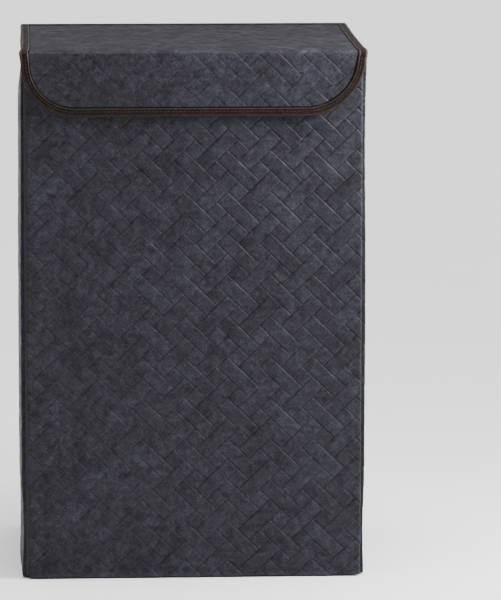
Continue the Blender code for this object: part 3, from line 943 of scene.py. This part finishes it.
def base_panel():
    swell = 0.0001
    cloth = slab(BASE_LOW.x, BASE_HIGH.x, BASE_LOW.y, BASE_HIGH.y, -FLOOR_PANEL, -swell,
                 swell_of(61, swell, 0.12))
    add_piece("floor_panel_cloth", placed(cloth, "floor_panel", floor_place), "floor_cloth",
              "lining", ("base_cover", "base_board"), "base")
    inner_y = HALF_DEPTH - WALL
    path = ((inner_y - 0.0002, 0.0070), (inner_y - 0.0004, 0.0040), (inner_y - 0.0010, 0.0022),
            (BASE_AXIS.y - 0.0002, 0.0012), (BASE_HIGH.y - 0.0002, 0.0012))
    mesh = strip("base_hinge", path, 0.0006, (BASE_LOW.x, BASE_HIGH.x), 60, as_it_is)
    piece = add_piece("base_hinge_cloth", mesh, "hinge", "seam", ("base_hinge_seam",))
    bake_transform(piece)


base_panel()


# ---- lid and flap --------------------------------------------------------------------
# One sheet covers both.  Its board space runs over the fold: v is 0 where the bend
# starts on the lid, positive on the lid and negative down the flap.
FOLD_ROUND = 0.0062         # of the bend's outer side
INNER_ROUND = 0.0003        # and of its inner side
BEND = FOLD_ROUND * math.pi / 2.0
BEND_LINES = [-BEND * k / 4.0 for k in range(5)]
FLAP_FACE = FLAP_LOW.y
LID_FACE = LID_HIGH.z
LID_RUN = LID_HIGH.y - (FLAP_FACE + FOLD_ROUND)
LOWER = 0.0012              # the flap is shown this much lower than in CAD
FLAP_RUN = LID_FACE - FOLD_ROUND - FLAP_LOW.z + LOWER
FLAP_END = -(BEND + FLAP_RUN)
LID_HALF = LID_HIGH.x
CORNER_ROUND = {-1: 0.061, 1: 0.0695}
FADE = 0.015                # the inner side's shift at the bend dies out over this distance
SAG = 0.00009               # the lid's face waves down by up to twice this
SAG_START = 0.06            # and in full from here on
EAR = 0.0018                # the sheet spreads sideways by this at the ends of the bend
EAR_LENGTH = 0.009
WAIST = 0.0010              # and draws in by this in the middle of the lid's sides
SIDE_FROM, SIDE_BAND = 0.17, 0.03      # both grow in a band that starts at this u


def fold_place(u, v, h):
    """Board space of the lid's and the flap's common sheet."""
    depth = np.maximum(-h, 0.0)
    shift = np.maximum(0.0, depth + INNER_ROUND - FOLD_ROUND)
    radius = np.maximum(FOLD_ROUND - depth, INNER_ROUND) + np.maximum(h, 0.0)
    down = -v
    centre_y = FLAP_FACE + FOLD_ROUND + shift
    centre_z = LID_FACE - FOLD_ROUND - shift
    turn = np.clip(down / BEND, 0.0, 1.0) * math.pi / 2.0
    lid_y = FLAP_FACE + FOLD_ROUND + v + shift * np.clip(1.0 - v / FADE, 0.0, 1.0)
    under = down - BEND
    flap_z = LID_FACE - FOLD_ROUND - under - shift * np.clip(1.0 - under / FADE, 0.0, 1.0)
    y = np.where(v > 0.0, lid_y, np.where(under > 0.0, FLAP_FACE - h,
                                          centre_y - radius * np.sin(turn)))
    z = np.where(v > 0.0, LID_FACE + h, np.where(under > 0.0, flap_z,
                                                 centre_z + radius * np.cos(turn)))
    z = z - SAG * smooth(v / SAG_START) * (1.0 + waves(u, v, 71, 0.19))
    edge = smooth((np.abs(u) - SIDE_FROM) / SIDE_BAND)
    ear = EAR * np.exp(-((v + BEND / 2.0) / EAR_LENGTH) ** 2)
    waist = WAIST * np.sin(np.pi * np.clip(v / LID_RUN, 0.0, 1.0))
    return np.stack((u + np.sign(u) * edge * (ear - waist), y, z), -1)


def bend_with_flap(piece):
    """Bake the piece's placement into its mesh."""
    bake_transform(piece)


def flap_edge(inset=0.0):
    """Stations round the lid's sides and the flap, from the lid's left rear to its right rear."""
    half = LID_HALF - inset
    bottom = FLAP_END + inset
    rear = LID_RUN - 0.003
    near = [0.020, 0.014, 0.010, 0.006, 0.003, 0.0] + [-BEND * k / 6.0 for k in range(1, 7)]
    near += [-BEND - 0.003, -BEND - 0.006]
    stations = []
    for side in (-1, 1):
        curve = CORNER_ROUND[side] - inset
        straight = bottom + curve
        line = list(np.linspace(rear, near[0], 46)) + near[1:]
        line = [v for v in line if v > straight + 0.0015] + [straight]
        part = [(side * half, v, -side, 0.0) for v in line]
        for angle in np.linspace(0.0, math.pi / 2.0, 25)[1:]:
            part.append((side * (half - curve * (1.0 - math.cos(angle))),
                         straight - curve * math.sin(angle), -side * math.cos(angle),
                         math.sin(angle)))
        stations.append(part)
    left, right = stations
    across = [(u, bottom, 0.0, 1.0) for u in np.linspace(left[-1][0], right[-1][0], 42)[1:-1]]
    return left + across + right[::-1]


EDGE_INSET = 0.0006         # the sheet ends this far inside the binding's edge


def lid_and_flap():
    phase = (FLAP_PHASE[0], FLAP_PHASE[1] - (LID_FACE - FOLD_ROUND + BEND))
    sheet = weave(-LID_HALF, LID_HALF, FLAP_END, LID_RUN, phase,
                  deeper_to_the_right(0.60, 1.0, -0.08, 0.16))
    cut_at(sheet, (0.0, LID_RUN, 0.0), (0.0, 1.0, 0.0), drop=True)
    for side in (-1, 1):
        cut_at(sheet, (side * (LID_HALF - EDGE_INSET), 0.0, 0.0), (side, 0.0, 0.0), drop=True)
    for u, v, in_u, in_v in flap_edge(EDGE_INSET):
        if in_v > 0.0:
            cut_at(sheet, (u, v, 0.0), (-in_u, -in_v, 0.0), drop=True)
    bends = [0.015, 0.008, 0.003, *BEND_LINES, -BEND - 0.003, -BEND - 0.008]
    for v in bends:
        cut_at(sheet, (0.0, v, 0.0), (0.0, 1.0, 0.0))

    levels = sorted([*bends, *np.linspace(0.03, LID_RUN - 0.01, 12),
                     *np.linspace(FLAP_END + 0.005, -BEND - 0.02, 6)])
    divide(sheet, close_sheet(sheet, (underside,)), levels)
    bend_with_flap(add_piece("lid_and_flap_woven_cover", placed(sheet, "lid", fold_place),
                             "cover", "woven_cover",
                             ("lid_cover", "flap_cover", "flap_fold_seam")))
    tube = tape("binding", flap_edge(), tape_profile(TAPE_REACH, PANEL), fold_place, 0.00012, 77)
    bend_with_flap(add_piece("lid_and_flap_binding", tube, "tape", "edge_binding",
                             ("lid_left_binding", "lid_right_binding", "flap_binding")))


STITCH_INSET = 0.0048       # from the binding's edge
STITCH_LIFT = PROUD * 0.80
STITCH_PITCH = 0.0046
STITCH_LENGTH = 0.0031
THREAD = 0.00030            # the thread's radius
STITCH_GAP = 0.004          # no stitch lies nearer than this to the bend


def binding_stitches():
    line = np.array([(u + in_u * STITCH_INSET, v + in_v * STITCH_INSET)
                     for u, v, in_u, in_v in flap_edge()])
    run = run_along(line)
    at = np.arange(STITCH_PITCH, run[-1] - STITCH_PITCH, STITCH_PITCH)
    v = np.interp(at, run, line[:, 1])
    at = at[(v > STITCH_GAP) | (v < -BEND - STITCH_GAP)]

    def on_tape(ahead, lift):
        u, v = (np.interp(at + ahead, run, line[:, k]) for k in (0, 1))
        return fold_place(u, v, np.full_like(u, STITCH_LIFT + lift))

    place = on_tape(0.0, 0.0)
    mesh = stitches("binding_stitches", place, unit(on_tape(0.0008, 0.0) - place),
                    unit(on_tape(0.0, 0.001) - place), STITCH_LENGTH, THREAD)
    bend_with_flap(add_piece("binding_stitches", mesh, "thread", "edge_binding"))


def lid_lining():
    """The cloth under the lid and behind the flap, in one piece over the fold."""
    inset = 0.0015
    bm = bmesh.new()
    bm.faces.new([bm.verts.new((u, v, LINING - PANEL)) for u, v, *_ in flap_edge(inset)])
    for v in (0.02, 0.012, 0.006, *BEND_LINES, -BEND - 0.006, -BEND - 0.012,
              *np.linspace(0.03, LID_RUN - 0.01, 26),
              *np.linspace(-BEND - 0.02, FLAP_END + 0.004, 6)):
        cut_at(bm, (0.0, v, 0.0), (0.0, 1.0, 0.0))
    last_u = LID_HALF - inset - 0.01
    for u in np.linspace(-last_u, last_u, 38):
        cut_at(bm, (u, 0.0, 0.0), (1.0, 0.0, 0.0))
    for part in bmesh.ops.extrude_face_region(bm, geom=bm.faces[:])["geom"]:
        if isinstance(part, bmesh.types.BMVert):
            swell = WALL_SWELL * float(waves(np.array(part.co.x), np.array(part.co.y), 83, 0.10))
            part.co.z = -PANEL - max(0.0, swell)
    bend_with_flap(add_piece("lid_and_flap_lining", placed(bm, "lining", fold_place), "lining",
                             "lining", ("lid_lining", "flap_lining")))


def lid_hinge():
    """The cloth that joins the lid's rear edge to the back wall, outside the rim."""
    y, z = LID_AXIS.y, LID_AXIS.z
    path = ((y - 0.0008, z - 0.0235), (y + 0.0002, z - 0.0180), (y + 0.0004, z - 0.0100),
            (y + 0.0012, z - 0.0045), (y + 0.0018, z - 0.0005), (y + 0.0010, z + 0.0026),
            (y - 0.0012, z + 0.0036), (y - 0.0050, z + 0.0036), (y - 0.0090, z + 0.0030))
    half = LID_HALF - 0.0005
    mesh = strip("lid_hinge", path, 0.0008, (-half, half), 81, as_it_is)
    piece = add_piece("lid_hinge_strip", mesh, "cover", "seam", ("lid_hinge_seam",))
    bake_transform(piece)


lid_and_flap()
binding_stitches()
lid_lining()
lid_hinge()

for node in ("lid_board", "flap_board"):
    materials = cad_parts[node].data.materials
    materials.clear()
    materials.append(looks["board"])


# ---- camera, light and floor -------------------------------------------------------
def add_camera():
    place = Vector((-0.2007, -5.0225, 1.1460))
    yaw, pitch, roll = (math.radians(angle) for angle in (-3.143, -9.443, 0.108))
    data = bpy.data.cameras.new("view")
    data.sensor_fit = 'VERTICAL'
    data.sensor_height = 36.0
    data.lens = 252.37
    data.clip_end = 60.0
    camera = add_object("view", data)
    camera.matrix_world = (Matrix.Translation(place) @ Matrix.Rotation(yaw, 4, 'Z')
                           @ Matrix.Rotation(math.pi / 2.0 + pitch, 4, 'X')
                           @ Matrix.Rotation(roll, 4, 'Z'))
    bpy.context.scene.camera = camera


def add_light(name, kind, place, aim, power, **shape):
    data = bpy.data.lights.new(name, kind)
    data.energy = power
    for key, value in shape.items():
        setattr(data, key, value)
    light = add_object(name, data)
    light.location = place
    light.rotation_euler = (Vector(aim) - Vector(place)).to_track_quat('-Z', 'Y').to_euler()
    light.visible_camera = False


def add_floor():
    bm = bmesh.new()
    bmesh.ops.create_grid(bm, x_segments=8, y_segments=8, size=30.0)
    mesh = bpy.data.meshes.new("floor")
    bm.to_mesh(mesh)
    bm.free()
    mesh.materials.append(floor_look("floor_look"))
    floor = add_object("floor", mesh)


def add_world():
    world = bpy.data.worlds.new("studio")
    bpy.context.scene.world = world
    world.use_nodes = True
    background = world.node_tree.nodes["Background"]
    background.inputs["Color"].default_value = (1.0, 1.0, 1.0, 1.0)
    background.inputs["Strength"].default_value = 0.44


add_camera()
add_floor()
add_world()
add_light("key", 'AREA', (0.55, -0.40, 0.85), (0.15, -0.16, 0.50), 10.5, size=0.25)
add_light("side", 'AREA', (1.0, -0.35, 0.6), (0.0, -0.16, 0.35), 11.5, size=0.3)
add_light("sun", 'SUN', (0.0, 0.0, 0.0), (0.0, 0.03, -1.0), 4.4, angle=math.radians(50.0))
